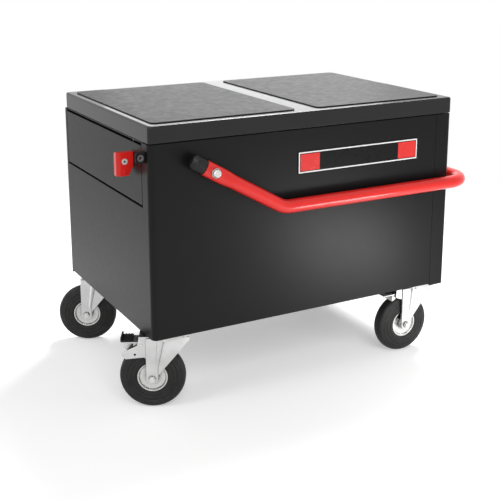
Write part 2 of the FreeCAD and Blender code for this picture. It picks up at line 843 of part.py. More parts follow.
def make_security_eye():
    """Bent steel eye on the corner post."""
    z0, z1 = eye_z - eye_height / 2, eye_z + eye_height / 2
    mid = left - eye_reach / 2
    points = [(mid, z1), (left - eye_reach, z1), (left - eye_reach, z0), (left, z0), (left, z1)]
    ear = outline_xz(points, [eye_corner_radius, eye_corner_radius, 0, 0], eye_y0, eye_y0 + eye_thickness)
    foot = box(left - eye_thickness, left, eye_y0, eye_y0 + eye_foot, z0, z1)
    hole = rod(eye_centre - Y_AXIS, Y_AXIS, eyelet_outer, eye_thickness + 2)
    return fuse([ear, foot]).cut(hole)


def make_eyelet():
    """Plated ring pressed into the eye."""
    ring = tube_piece(eye_centre, Y_AXIS, eyelet_outer, eyelet_inner, eye_thickness)
    flange = tube_piece(eye_centre - Y_AXIS * eyelet_flange, Y_AXIS, eyelet_outer + eyelet_flange_width,
                        eyelet_inner, eyelet_flange)
    return fuse([ring, flange])


def make_name_plate():
    """Plain plate on the front, with a shallow groove inside its border."""
    x0 = left + plate_from_left
    z0 = bottom + plate_rise
    points = [(x0 + plate_length / 2, z0), (x0 + plate_length, z0), (x0 + plate_length, z0 + plate_height),
              (x0, z0 + plate_height), (x0, z0)]
    plate = outline_xz(points, [plate_corner_radius] * 4, front - plate_thickness, front)
    groove_outer = box(x0 + plate_border, x0 + plate_length - plate_border, front - plate_thickness - 1,
                       front - plate_thickness + plate_groove, z0 + plate_border,
                       z0 + plate_height - plate_border)
    land = 2 * plate_groove + plate_border
    groove_inner = box(x0 + land, x0 + plate_length - land, front - plate_thickness - 1,
                       front - plate_thickness + plate_groove, z0 + land, z0 + plate_height - land)
    return plate.cut(groove_outer.cut(groove_inner))


# Handle: the arm leaves the pivot downwards at the handle angle, then runs level to the end bend
arm_dir = vec(math.cos(math.radians(handle_angle)), 0, -math.sin(math.radians(handle_angle)))
arm_up = vec(math.sin(math.radians(handle_angle)), 0, math.cos(math.radians(handle_angle)))
pivot = vec(pivot_x, arm_y, pivot_z)


def section_wire(distance, wall, flattened):
    """Section of the handle tube across the sloping arm, at a distance from the pivot."""
    if flattened:
        curve = Part.Ellipse(vec(0, 0, 0), handle_flat_width / 2 - wall, handle_flat_thickness / 2 - wall)
    else:
        curve = Part.Circle(vec(0, 0, 0), Z_AXIS, handle_tube / 2 - wall)
    wire = Part.Wire(curve.toShape())
    turn = FreeCAD.Rotation(arm_up, Y_AXIS, arm_dir, "ZXY")
    wire.Placement = FreeCAD.Placement(pivot + arm_dir * distance, turn)
    return wire


def handle_body(wall):
    """The handle as a solid, its section shrunk by the wall."""
    knee = pivot + arm_dir * (handle_bar_drop / math.sin(math.radians(handle_angle)))
    start = pivot + arm_dir * (handle_flat_end + handle_transition)
    points = [start, knee, vec(bar_x, arm_y, bar_z), vec(bar_x, -arm_y, bar_z),
              vec(knee.x, -arm_y, bar_z), vec(start.x, -arm_y, start.z)]
    radii = [handle_side_bend, handle_end_bend, handle_end_bend, handle_side_bend]
    path = Part.Wire(rounded_path(points, radii))
    run = path.makePipeShell([section_wire(handle_flat_end + handle_transition, wall, False)], True, False)
    flat = section_wire(-handle_tail, wall, True)
    paddle = Part.Face(flat).extrude(arm_dir * (handle_tail + handle_flat_end))
    neck = Part.makeLoft([section_wire(handle_flat_end, wall, True),
                          section_wire(handle_flat_end + handle_transition, wall, False)], True, True)
    return fuse([run, paddle, neck, mirror_y(paddle), mirror_y(neck)])


def make_handle_tube():
    """Bent tube with two flattened, open ends."""
    bush_radius = pivot_bolt_radius + pivot_running + pivot_bush_wall
    bore = rod(vec(pivot_x, -2 * body_depth, pivot_z), Y_AXIS, bush_radius, 4 * body_depth)
    return handle_body(0).cut(handle_body(handle_wall)).cut(bore)


def make_handle_plugs():
    """Long rounded plastic plugs in the tube ends."""
    stem = Part.Face(section_wire(-handle_tail, handle_wall, True)).extrude(arm_dir * handle_plug_depth)
    straight = handle_plug_reach - handle_plug_round
    rim = section_wire(-handle_tail, handle_plug_rim, True)
    barrel = Part.Face(rim).extrude(-arm_dir * straight)
    shoulder = section_wire(-handle_tail - straight, handle_plug_rim, True)
    tip = section_wire(-handle_tail - handle_plug_reach, handle_plug_rim + handle_plug_round * 0.6, True)
    nose = Part.makeLoft([shoulder, tip], True, True)
    plug = fuse([stem, barrel, nose])
    return Part.makeCompound([plug, mirror_y(plug)])


bush_half = handle_flat_thickness / 2 + pivot_bush_proud


def make_pivot_bushes():
    """Bushes fixed in the flattened ends."""
    inner = pivot_bolt_radius + pivot_running
    bush = tube_piece(pivot - Y_AXIS * bush_half, Y_AXIS, inner + pivot_bush_wall, inner, 2 * bush_half)
    return Part.makeCompound([bush, mirror_y(bush)])


washer_y = arm_y - bush_half - pivot_side_play
nut_height = pivot_head_height


def make_pivot_bolts():
    """Hexagon bolts that the handle turns on, with their washers and nuts."""
    head = hexagon(vec(pivot_x, washer_y - pivot_washer - pivot_head_height, pivot_z), Y_AXIS,
                   pivot_head_across, pivot_head_height)
    crown = Part.makeCone(pivot_head_across * 0.72, pivot_head_across * 0.46, pivot_head_height,
                          vec(pivot_x, washer_y - pivot_washer, pivot_z), -Y_AXIS)
    shank_end = front + sheet + nut_height
    shank = rod(vec(pivot_x, washer_y - pivot_washer, pivot_z), Y_AXIS, pivot_bolt_radius,
                shank_end - washer_y + pivot_washer)
    bolt = fuse([head.common(crown), shank])
    washer = tube_piece(vec(pivot_x, washer_y - pivot_washer, pivot_z), Y_AXIS, pivot_washer_radius,
                        pivot_bolt_radius + pivot_hole_clearance, pivot_washer)
    nut = hexagon(vec(pivot_x, front + sheet, pivot_z), Y_AXIS, pivot_head_across, nut_height)
    nut = nut.cut(rod(vec(pivot_x, front, pivot_z), Y_AXIS, pivot_bolt_radius, 3 * nut_height))
    stack = [bolt, washer, nut]
    return Part.makeCompound(stack + [mirror_y(piece) for piece in stack])


def make_pivot_spacers():
    """Rings that hold the handle off the pivot plates."""
    y0 = arm_y + bush_half + pivot_side_play
    spacer = tube_piece(vec(pivot_x, y0, pivot_z), Y_AXIS, pivot_spacer_radius,
                        pivot_bolt_radius + pivot_hole_clearance, front - pivot_plate - y0)
    return Part.makeCompound([spacer, mirror_y(spacer)])


def make_pivot_boss():
    """Round plate under the spacer."""
    return tube_piece(vec(pivot_x, front - pivot_plate, pivot_z), Y_AXIS, pivot_plate_radius,
                      pivot_bolt_radius + pivot_hole_clearance, pivot_plate)


def make_stop_plate():
    """Pivot plate with the peg that stops the raised handle."""
    raised = math.radians(handle_swing - handle_angle)
    along = vec(math.cos(raised), 0, math.sin(raised))
    ahead = vec(-math.sin(raised), 0, math.cos(raised))
    offset = handle_tube / 2 + stop_peg_radius + stop_clearance
    centre = vec(pivot_x, 0, pivot_z)
    peg = centre + along * stop_peg_distance + ahead * offset
    reach = (peg - centre).normalize()
    across = vec(-reach.z, 0, reach.x)
    corners = [centre + across * pivot_plate_radius, peg + across * stop_plate_radius,
               peg - across * stop_plate_radius, centre - across * pivot_plate_radius]
    corners = [vec(p.x, front - pivot_plate, p.z) for p in corners]
    web = Part.Face(Part.makePolygon(corners + [corners[0]])).extrude(Y_AXIS * pivot_plate)
    pad = rod(vec(peg.x, front - pivot_plate, peg.z), Y_AXIS, stop_plate_radius, pivot_plate)
    post = rod(vec(peg.x, arm_y - handle_tube / 4, peg.z), Y_AXIS, stop_peg_radius,
               front - arm_y + handle_tube / 4)
    hole = rod(vec(centre.x, front - 2 * pivot_plate, centre.z), Y_AXIS,
               pivot_bolt_radius + pivot_hole_clearance, 3 * pivot_plate)
    return fuse([web.cut(hole), make_pivot_boss(), pad, post])


def make_handle_rest():
    """Bracket on the end wall under the stowed cross bar."""
    z1 = bar_z - handle_tube / 2 - rest_clearance - rest_pad
    arm = box(right, bar_x + handle_tube / 2, -rest_width / 2, rest_width / 2, z1 - rest_sheet, z1)
    foot = box(right, right + rest_sheet, -rest_width / 2, rest_width / 2, z1 - rest_foot, z1)
    gusset_points = [(right + rest_sheet, z1 - rest_sheet), (right + rest_sheet, z1 - rest_foot),
                     (bar_x - handle_tube / 4, z1 - rest_sheet)]
    gusset = outline_xz(gusset_points, [0, 0], -rest_sheet / 2, rest_sheet / 2)
    return fuse([arm, foot, gusset])


def make_handle_rest_pad():
    """Rubber pad that the cross bar lies on."""
    z1 = bar_z - handle_tube / 2 - rest_clearance
    return box(bar_x - handle_tube / 2, bar_x + handle_tube / 2, -rest_width / 2, rest_width / 2,
               z1 - rest_pad, z1)


def turned(shape, name):
    """Turn a caster piece to its swivel angle and move it to its place."""
    x, y, angle = caster_places[name]
    moved = shape.copy()
    moved.rotate(vec(0, 0, 0), Z_AXIS, angle)
    moved.translate(vec(x, y, 0))
    return moved


def make_top_plate(name):
    """Caster plate under the floor, with the upper race."""
    x, y, angle = caster_places[name]
    plate = rounded_block(x - top_plate_length / 2, x + top_plate_length / 2, y - top_plate_depth / 2,
                          y + top_plate_depth / 2, plate_low, bottom, top_plate_radius)
    race = rod(vec(x, y, race_low), Z_AXIS, race_outer, race_height)
    hollow = tube_piece(vec(x, y, race_low - 1), Z_AXIS, race_outer - race_wall, cage_inner,
                        cage_height + 1)
    bore = rod(vec(x, y, race_low - 1), Z_AXIS, king_pin_radius, race_height + top_plate_thickness + 2)
    return cut(fuse([plate, race]), [hollow, bore] + plate_holes)


def make_ball_cages():
    """Ball cages in the swivel heads of all casters."""
    cages = []
    for x, y, angle in caster_places.values():
        cages.append(tube_piece(vec(x, y, race_low), Z_AXIS, race_outer - race_wall, cage_inner,
                                cage_height))
    return Part.makeCompound(cages)


def make_king_pins():
    """Rivets that hold the forks to their plates."""
    pins = []
    for x, y, angle in caster_places.values():
        head_top = fork_under - king_pin_side_play
        head = rod(vec(x, y, head_top - king_pin_head_height), Z_AXIS, king_pin_head_radius,
                   king_pin_head_height)
        edge = [e for e in head.Edges if e.CenterOfMass.z < head_top - king_pin_head_height + 1e-6]
        head = head.makeFillet(king_pin_head_height * 0.6, edge)
        shank = rod(vec(x, y, head_top), Z_AXIS, king_pin_radius, bottom - head_top)
        pins.append(fuse([head, shank]))
    return Part.makeCompound(pins)


def make_plate_bolts():
    """Bolts up through the caster plates, floor and channels, with their nuts."""
    bolts = []
    for x, y in plate_hole_points():
        head = hexagon(vec(x, y, plate_low - plate_bolt_head_height), Z_AXIS,
                       plate_bolt_head_radius * math.sqrt(3), plate_bolt_head_height)
        stack = top_plate_thickness + sheet + channel_sheet + plate_nut_height + plate_bolt_overhang
        shank = rod(vec(x, y, plate_low), Z_AXIS, plate_bolt_radius, stack)
        bolts.append(fuse([head, shank]))
        z0 = bottom + sheet + channel_sheet
        nut = hexagon(vec(x, y, z0), Z_AXIS, plate_bolt_head_radius * math.sqrt(3), plate_nut_height)
        bolts.append(nut.cut(rod(vec(x, y, z0 - 1), Z_AXIS, plate_bolt_radius, plate_nut_height + 2)))
    return Part.makeCompound(bolts)


def fork_side(name, y0, y1):
    """One side plate of a fork, in the local XZ plane."""
    axle_z = wheel_radius
    toe = fork_toe_radius
    leg_x0 = trail - toe
    leg_x1 = trail + toe
    points = [(0, fork_top), (-fork_lead, fork_top), (-fork_lead, fork_top - fork_lead_drop),
              (leg_x0 - 1, axle_z + toe * 0.6), (leg_x0, axle_z - toe), (leg_x1, axle_z - toe)]
    radii = [fork_top_radius, fork_lead_radius, 0, toe * 0.8, toe * 0.8]
    if name in cheeked:
        rise = brake_cheek_rise
        points += [(leg_x1, brake_cheek_low + rise), (brake_cheek_reach - 2 * rise, brake_cheek_low),
                   (brake_cheek_reach, brake_cheek_top - rise), (brake_cheek_reach, brake_cheek_top),
                   (fork_ear_reach, bottom - brake_cheek_step), (fork_ear_reach - rise, fork_top)]
        radii += [brake_cheek_round * 2, brake_cheek_round, brake_cheek_round, brake_cheek_round / 2,
                  brake_cheek_round, brake_cheek_round]
    elif name in braked:
        points += [(leg_x1, fork_top - fork_ear_depth - fork_ear_slope),
                   (fork_ear_reach, fork_top - fork_ear_depth), (fork_ear_reach, fork_top)]
        radii += [fork_top_radius] * 3
    else:
        points += [(leg_x1, fork_top)]
        radii += [fork_top_radius]
    return outline_xz(points, radii, y0, y1)


def fork_strip(y0, y1):
    """The raised strip down a fork leg, round the axle at its lower end."""
    half = fork_strip_width / 2
    low = wheel_radius - half
    points = [(trail, fork_under), (trail - half, fork_under), (trail - half, low), (trail + half, low),
              (trail + half, fork_under)]
    return outline_xz(points, [fork_strip_radius, half * 0.95, half * 0.95, fork_strip_radius], y0, y1)


def make_fork(name):
    """Pressed fork with its two side plates, bridge and bearing cup."""
    rear = fork_ear_reach if name in braked else trail + fork_toe_radius
    bridge = box(fork_bridge_gap - fork_lead, rear - fork_bridge_gap, -leg_outside, leg_outside,
                 fork_under, fork_top)
    pieces = [bridge]
    for side in (-1, 1):
        inner, outer, face = side * leg_inside, side * leg_outside, side * leg_face
        pieces.append(fork_side(name, min(inner, outer), max(inner, outer)))
        pieces.append(fork_strip(min(inner, face), max(inner, face)))
        start = vec(trail - fork_strip_width / 2 - fork_bead_out, outer, fork_under - corner_slack)
        end = vec(trail - fork_bead_out, outer, wheel_radius + fork_toe_radius)
        along = end - start
        pieces.append(Part.makeCone(fork_bead_radius, fork_bead_tip, along.Length, start, along))
    cup = tube_piece(vec(0, 0, fork_under), Z_AXIS, cup_outer, cup_outer - cup_wall,
                     fork_sheet + cup_height)
    cup_edge = [e for e in cup.Edges if e.CenterOfMass.z > fork_top + cup_height - 1e-6]
    pieces.append(cup.makeFillet(cup_wall * 0.4, cup_edge))
    clearance = box(-fork_lead, fork_rear + brake_cheek_reach, -leg_inside, leg_inside, 0, fork_under)
    bore = rod(vec(0, 0, 0), Z_AXIS, king_pin_radius + axle_clearance, bottom)
    axle = rod(vec(trail, -2 * leg_face, wheel_radius), Y_AXIS, axle_radius, 4 * leg_face)
    holes = [clearance, bore, axle]
    if name in braked:
        holes.append(rod(vec(brake_pivot_out, -2 * leg_face, brake_pivot_height), Y_AXIS,
                         brake_pin_radius, 4 * leg_face))
    if name in cheeked:
        start = vec(brake_pivot_out + brake_cheek_hole_out, -2 * leg_face,
                    brake_cheek_low + brake_cheek_hole_rise)
        holes.append(rod(start, Y_AXIS, brake_cheek_hole, 4 * leg_face))
    fork = pieces[0]
    for piece in pieces[1:]:
        fork = fork.fuse(piece)
    return turned(cut(fork.removeSplitter(), holes), name)


def make_brake_pin():
    """Pin through the fork that the brake pedal turns on."""
    return rod(vec(brake_pivot_out, -leg_outside - brake_pin_overhang, brake_pivot_height), Y_AXIS,
               brake_pin_radius, 2 * (leg_outside + brake_pin_overhang))


def make_axle(name):
    """Axle bolt, its nut and the sleeve that the wheel turns on."""
    head = hexagon(vec(trail, -leg_face - axle_head_height, wheel_radius), Y_AXIS,
                   axle_head_radius * math.sqrt(3), axle_head_height)
    shank = rod(vec(trail, -leg_face, wheel_radius), Y_AXIS, axle_radius,
                2 * leg_face + axle_head_height + axle_overhang)
    nut = hexagon(vec(trail, leg_face, wheel_radius), Y_AXIS, axle_head_radius * math.sqrt(3),
                  axle_head_height)
    nut = nut.cut(rod(vec(trail, 0, wheel_radius), Y_AXIS, axle_radius, 4 * leg_face))
    sleeve = tube_piece(vec(trail, -leg_inside, wheel_radius), Y_AXIS, sleeve_radius, axle_radius,
                        2 * leg_inside)
    pieces = [fuse([head, shank]), nut, sleeve]
    if name in braked:
        pieces.append(make_brake_pin())
    return turned(Part.makeCompound(pieces), name)


def make_rim(name):
    """Pressed wheel centre with its hub."""
    half = wheel_width / 2
    bore = sleeve_radius + axle_clearance
    hub_half = leg_inside - hub_play
    lip_radius = rim_radius - rim_lip
    side = [(bore, hub_half), (hub_radius, hub_half), (hub_radius, half - rim_dish),
            (lip_radius - rim_slope, half - rim_dish + rim_dish_step), (lip_radius, half - rim_inset),
            (rim_radius, half - rim_inset)]
    profile = side + [(radius, -offset) for radius, offset in side[::-1]]
    return turned(revolved(profile, vec(trail, 0, wheel_radius), Y_AXIS), name)


def tyre_profile():
    """Half section of the tyre as (radius, offset) points, with raised rings on its side."""
    half = wheel_width / 2
    side = [(rim_radius, half - tyre_bead_inset), (rim_radius + tyre_bead_width, half)]
    for ring in tyre_rings:
        drop = tyre_side_drop * ((ring - rim_radius) / (wheel_radius - rim_radius)) ** 2
        low = half - drop
        high = low + tyre_ring_height
        side += [(ring - tyre_ring_width, low), (ring - tyre_ring_width / 2, high),
                 (ring + tyre_ring_width / 2, high), (ring + tyre_ring_width, low)]
    shoulder = half - tyre_side_drop
    side += [(wheel_radius - tyre_shoulder_width, shoulder),
             (wheel_radius - tyre_crown, shoulder - tyre_crown),
             (wheel_radius - tyre_tread_lift, shoulder - tyre_tread_drop), (wheel_radius, tyre_tread_flat)]
    return side


def make_tyre(name):
    """Solid rubber tyre."""
    side = tyre_profile()
    profile = side + [(radius, -offset) for radius, offset in side[::-1]]
    return turned(revolved(profile, vec(trail, 0, wheel_radius), Y_AXIS), name)


def make_brake_pedal(name):
    """Pedal plate with its barrel and the shoe over the tyre."""
    half = leg_inside - brake_play
    barrel = rod(vec(brake_pivot_out, -half, brake_pivot_height), Y_AXIS, brake_barrel_radius, 2 * half)
    plate_top = brake_pivot_height + brake_barrel_radius
    plate = box(brake_pivot_out - brake_barrel_radius / 2, brake_pad_reach - brake_pedal_short, -half, half,
                plate_top - brake_pedal_sheet, plate_top)
    shoe_half = half - brake_shoe_side
    shoe_block = box(brake_shoe_start, brake_shoe_end, -shoe_half, shoe_half, wheel_radius,
                     plate_top - brake_pedal_sheet)
    drop = (brake_shoe_end - brake_pivot_out) * math.sin(math.radians(brake_swing))
    tyre_room = rod(vec(trail, -wheel_width, wheel_radius), Y_AXIS,
                    wheel_radius + brake_shoe_play + drop, 2 * wheel_width)
    bore = rod(vec(brake_pivot_out, -2 * half, brake_pivot_height), Y_AXIS,
               brake_pin_radius + axle_clearance, 4 * half)
    return turned(cut(fuse([barrel, plate, shoe_block.cut(tyre_room)]), [bore]), name)


def make_brake_pad(name):
    """Black foot pad on the end of the pedal, with an upturned tip and grip ribs."""
    half = leg_inside - brake_play - brake_pad_side
    z0 = brake_pivot_height + brake_barrel_radius
    slab = box(brake_pad_start, brake_pad_reach, -half, half, z0, z0 + brake_pad_thickness / 2)
    tip = box(brake_pad_reach - brake_tip_width, brake_pad_reach, -half, half, z0, z0 + brake_tip_height)
    starts = [brake_pad_start + brake_rib_start + i * brake_rib_pitch for i in range(brake_rib_count)]
    ribs = [box(x, x + brake_rib_width, -half, half, z0, z0 + brake_pad_thickness * 0.75)
            for x in starts]
    return turned(fuse([slab, tip] + ribs), name)


nodes["front_left_panel"] = make_front_left_panel()
nodes["back_right_panel"] = make_back_right_panel()
nodes["floor_pan"] = make_floor_pan()
nodes["base_channels"] = Part.makeCompound([make_base_channel(left + swivel_from_end),
                                            make_base_channel(right - swivel_from_end)])
nodes["top_frame"] = make_top_frame()
nodes["lid_seal"] = make_lid_seal()
nodes["drawer_housing"] = make_drawer_housing()
nodes["drawer_runners_fixed"] = make_runners_fixed()
nodes["hinge_leaf_body"] = make_hinge_leaf(False)
nodes["hinge_pin"] = rod(vec(left + hinge_end_margin, hinge_y, hinge_z), X_AXIS, hinge_pin_radius,
                         body_length - 2 * hinge_end_margin)
nodes["hinge_rivets_body"] = Part.makeCompound([rivet(p, -Y_AXIS, body_rivet_grip)
                                                for p in body_rivet_starts])
nodes["lid_pan"] = make_lid_pan()
nodes["lid_stiffeners"] = Part.makeCompound([make_lid_stiffener(body_shift - stiffener_offset),
                                             make_lid_stiffener(body_shift + stiffener_offset)])
nodes["lid_mat_left"] = make_mat(-1)
nodes["lid_mat_right"] = make_mat(1)
nodes["hinge_leaf_lid"] = make_hinge_leaf(True)
nodes["hinge_rivets_lid"] = Part.makeCompound([rivet(p, -Y_AXIS, lid_rivet_grip)
                                               for p in lid_rivet_starts])
nodes["drawer_front"] = make_drawer_front()
nodes["drawer_tray"] = make_tray()
nodes["drawer_runners_moving"] = make_runners_moving()
nodes["lock_housing"] = make_lock_housing()
nodes["lock_rivet"] = make_lock_rivet()
nodes["lock_cylinder"] = make_lock_cylinder()
nodes["lock_bolt"] = make_lock_bolt()
nodes["security_eye"] = make_security_eye()
nodes["security_eyelet"] = make_eyelet()
nodes["name_plate"] = make_name_plate()
nodes["handle_tube"] = make_handle_tube()
nodes["handle_plugs"] = make_handle_plugs()
nodes["handle_bushes"] = make_pivot_bushes()
nodes["pivot_bolts"] = make_pivot_bolts()
nodes["pivot_spacers"] = make_pivot_spacers()
nodes["handle_pivot_plates"] = Part.makeCompound([make_pivot_boss(), mirror_y(make_stop_plate())])
nodes["handle_rest"] = make_handle_rest()
nodes["handle_rest_pad"] = make_handle_rest_pad()
nodes["caster_ball_cages"] = make_ball_cages()
nodes["caster_king_pins"] = make_king_pins()
nodes["caster_bolts"] = make_plate_bolts()
nodes["caster_top_plates"] = Part.makeCompound([make_top_plate(place) for place in caster_places])
for place in caster_places:
    nodes["fork_" + place] = make_fork(place)
    nodes["axle_" + place] = make_axle(place)
    nodes["rim_" + place] = make_rim(place)
    nodes["tyre_" + place] = make_tyre(place)
for place in braked:
    nodes["brake_pedal_" + place] = make_brake_pedal(place)
    nodes["brake_pad_" + place] = make_brake_pad(place)

os.makedirs("parts", exist_ok=True)
for name, shape in nodes.items():
    if not shape.isValid():
        print("not valid:", name)
    shape.exportStep("parts/" + name + ".step")
print(len(nodes), "nodes")
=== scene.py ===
import math
import bpy
import bmesh
from mathutils import Vector, Matrix


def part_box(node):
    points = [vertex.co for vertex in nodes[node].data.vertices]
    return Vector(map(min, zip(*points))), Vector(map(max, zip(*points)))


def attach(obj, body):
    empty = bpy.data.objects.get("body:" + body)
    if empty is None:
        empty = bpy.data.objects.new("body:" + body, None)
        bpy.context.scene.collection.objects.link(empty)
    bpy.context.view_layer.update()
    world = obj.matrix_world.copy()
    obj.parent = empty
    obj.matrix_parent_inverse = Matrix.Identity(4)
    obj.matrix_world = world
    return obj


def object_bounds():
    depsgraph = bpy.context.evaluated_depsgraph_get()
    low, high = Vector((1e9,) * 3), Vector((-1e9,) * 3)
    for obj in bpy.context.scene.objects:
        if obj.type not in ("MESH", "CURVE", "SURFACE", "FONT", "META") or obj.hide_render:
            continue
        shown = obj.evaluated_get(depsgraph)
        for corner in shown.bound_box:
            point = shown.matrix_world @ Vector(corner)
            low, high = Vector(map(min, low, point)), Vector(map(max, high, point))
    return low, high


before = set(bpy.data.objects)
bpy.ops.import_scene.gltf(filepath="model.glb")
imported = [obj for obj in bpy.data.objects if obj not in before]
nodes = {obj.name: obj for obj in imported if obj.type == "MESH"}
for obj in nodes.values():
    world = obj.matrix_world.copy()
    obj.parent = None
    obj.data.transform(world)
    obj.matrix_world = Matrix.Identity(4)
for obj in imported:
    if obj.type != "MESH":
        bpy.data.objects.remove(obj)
cad_low, cad_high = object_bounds()
scene = bpy.context.scene


# materials
def new_material(name):
    mat = bpy.data.materials.new(name)
    mat.use_nodes = True
    tree = mat.node_tree
    tree.nodes.clear()
    out = tree.nodes.new("ShaderNodeOutputMaterial")
    bsdf = tree.nodes.new("ShaderNodeBsdfPrincipled")
    tree.links.new(bsdf.outputs[0], out.inputs[0])
    return mat, tree, bsdf


def noise(tree, scale, detail=3.0, rough=0.5, stretch=None):
    coord = tree.nodes.new("ShaderNodeTexCoord")
    source = coord.outputs["Object"]
    if stretch:
        mapping = tree.nodes.new("ShaderNodeMapping")
        mapping.inputs["Scale"].default_value = stretch
        tree.links.new(source, mapping.inputs["Vector"])
        source = mapping.outputs[0]
    tex = tree.nodes.new("ShaderNodeTexNoise")
    tex.inputs["Scale"].default_value = scale
    tex.inputs["Detail"].default_value = detail
    tex.inputs["Roughness"].default_value = rough
    tree.links.new(source, tex.inputs["Vector"])
    return tex.outputs["Fac"]


def ramp(tree, value, stops):
    node = tree.nodes.new("ShaderNodeValToRGB")
    node.color_ramp.elements[0].position = stops[0][0]
    node.color_ramp.elements[0].color = (*stops[0][1], 1)
    node.color_ramp.elements[1].position = stops[-1][0]
    node.color_ramp.elements[1].color = (*stops[-1][1], 1)
    for place, colour in stops[1:-1]:
        step = node.color_ramp.elements.new(place)
        step.color = (*colour, 1)
    tree.links.new(value, node.inputs[0])
    return node.outputs[0]


def span(tree, value, low, high, start=0.3, end=0.7):
    node = tree.nodes.new("ShaderNodeMapRange")
    node.inputs["From Min"].default_value = start
    node.inputs["From Max"].default_value = end
    node.inputs["To Min"].default_value = low
    node.inputs["To Max"].default_value = high
    tree.links.new(value, node.inputs["Value"])
    return node.outputs[0]


def bump(tree, value, distance, strength, base):
    node = tree.nodes.new("ShaderNodeBump")
    node.inputs["Distance"].default_value = distance
    node.inputs["Strength"].default_value = strength
    tree.links.new(value, node.inputs["Height"])
    tree.links.new(base, node.inputs["Normal"])
    return node.outputs[0]


def soft_edges(tree, radius):
    node = tree.nodes.new("ShaderNodeBevel")
    node.samples = 6
    node.inputs["Radius"].default_value = radius
    return node.outputs[0]


def shade(base, factor):
    return tuple(min(c * factor, 1.0) for c in base)


# painted shade in folds and joins: its darkest tone and the occlusion span it fades over
crease_shade_tone = 0.12
crease_shade_closed, crease_shade_open = 0.35, 0.85


def painted_crease_shade(tree, colour, reach):
    """Painted shade: the colour darkened by ambient occlusion in folds and where pieces meet."""
    closed = tree.nodes.new("ShaderNodeAmbientOcclusion")
    closed.samples = 8
    closed.inputs["Distance"].default_value = reach
    tone = ramp(tree, closed.outputs["AO"], [(crease_shade_closed, (crease_shade_tone,) * 3),
                                               (crease_shade_open, (1.0, 1.0, 1.0))])
    mix = tree.nodes.new("ShaderNodeMix")
    mix.data_type = "RGBA"
    mix.blend_type = "MULTIPLY"
    mix.inputs[0].default_value = 1.0
    tree.links.new(colour, mix.inputs[6])
    tree.links.new(tone, mix.inputs[7])
    return mix.outputs[2]


def finish_material(name, base, rough, metal=0.0, spread=0.12, rough_spread=0.06, patch=7.0,
                    peel_scale=900.0, peel=0.00002, edge=0.0008, coat=0.0, coat_rough=0.05,
                    specular=0.5, crease_shade_reach=0.0):
    """Painted, plated or moulded finish: soft patches, a fine texture and rounded edges."""
    mat, tree, bsdf = new_material(name)
    big = noise(tree, patch, 4.0, 0.55)
    colour = ramp(tree, big, [(0.3, shade(base, 1 - spread)), (0.7, shade(base, 1 + spread))])
    # painted shade in folds and joins, from ambient occlusion within the given reach
    if crease_shade_reach:
        colour = painted_crease_shade(tree, colour, crease_shade_reach)
    tree.links.new(colour, bsdf.inputs["Base Color"])
    fine = noise(tree, patch * 9, 3.0, 0.6)
    tree.links.new(span(tree, fine, rough - rough_spread, rough + rough_spread), bsdf.inputs["Roughness"])
    peel_tex = noise(tree, peel_scale, 2.0)
    tree.links.new(bump(tree, peel_tex, peel, 1.0, soft_edges(tree, edge)), bsdf.inputs["Normal"])
    bsdf.inputs["Metallic"].default_value = metal
    bsdf.inputs["Coat Weight"].default_value = coat
    bsdf.inputs["Coat Roughness"].default_value = coat_rough
    bsdf.inputs["Specular IOR Level"].default_value = specular
    return mat


powder_black = finish_material("powder_black", (0.0055, 0.0055, 0.006), 0.36, peel_scale=650.0,
                               peel=0.00001, spread=0.06, rough_spread=0.02, specular=0.15)
lid_black = finish_material("lid_black", (0.008, 0.008, 0.009), 0.16, peel_scale=260.0, peel=0.000004,
                            rough_spread=0.03, specular=0.34)
inner_black = finish_material("inner_black", (0.02, 0.02, 0.021), 0.5, peel_scale=500.0, peel=0.00004)
red_paint = finish_material("red_paint", (0.70, 0.012, 0.008), 0.34, peel_scale=300.0, peel=0.000006,
                            spread=0.06, coat=0.55, coat_rough=0.08, specular=0.2)
# the zinc finishes get painted shade in their folds and joins
zinc = finish_material("zinc", (0.60, 0.605, 0.60), 0.2, metal=1.0, spread=0.12, rough_spread=0.07,
                       patch=16.0, peel_scale=200.0, peel=0.00001, crease_shade_reach=0.022)
bright_zinc = finish_material("bright_zinc", (0.70, 0.70, 0.69), 0.2, metal=1.0, spread=0.06, patch=25.0,
                              peel_scale=500.0, peel=0.00002, edge=0.0005, crease_shade_reach=0.008)
white_metal = finish_material("white_metal", (0.80, 0.79, 0.77), 0.3, metal=0.6, spread=0.05,
                              patch=60.0, edge=0.0003)
dark_zinc = finish_material("dark_zinc", (0.12, 0.12, 0.12), 0.3, metal=1.0, spread=0.1, patch=60.0,
                            edge=0.0003)
black_plastic = finish_material("black_plastic", (0.008, 0.008, 0.008), 0.45, peel_scale=1500.0,
                                peel=0.00006, edge=0.0006, specular=0.25)
seal_rubber = finish_material("seal_rubber", (0.02, 0.02, 0.02), 0.7, peel_scale=1800.0, peel=0.00008,
                              edge=0.0005)


def mat_rubber_material():
    """Rubber sheet with a close grid of small pips."""
    mat, tree, bsdf = new_material("mat_rubber")
    big = noise(tree, 5.0, 5.0, 0.6)
    tree.links.new(ramp(tree, big, [(0.3, (0.013, 0.013, 0.014)), (0.7, (0.018, 0.018, 0.019))]),
                   bsdf.inputs["Base Color"])
    bsdf.inputs["Specular IOR Level"].default_value = 0.2
    tree.links.new(span(tree, noise(tree, 60.0), 0.36, 0.46), bsdf.inputs["Roughness"])
    coord = tree.nodes.new("ShaderNodeTexCoord")
    pips = tree.nodes.new("ShaderNodeTexVoronoi")
    pips.inputs["Scale"].default_value = 420.0
    pips.inputs["Randomness"].default_value = 0.35
    tree.links.new(coord.outputs["Object"], pips.inputs["Vector"])
    height = span(tree, pips.outputs["Distance"], 1.0, 0.0, 0.1, 0.6)
    tree.links.new(bump(tree, height, 0.00012, 0.5, soft_edges(tree, 0.0006)), bsdf.inputs["Normal"])
    return mat


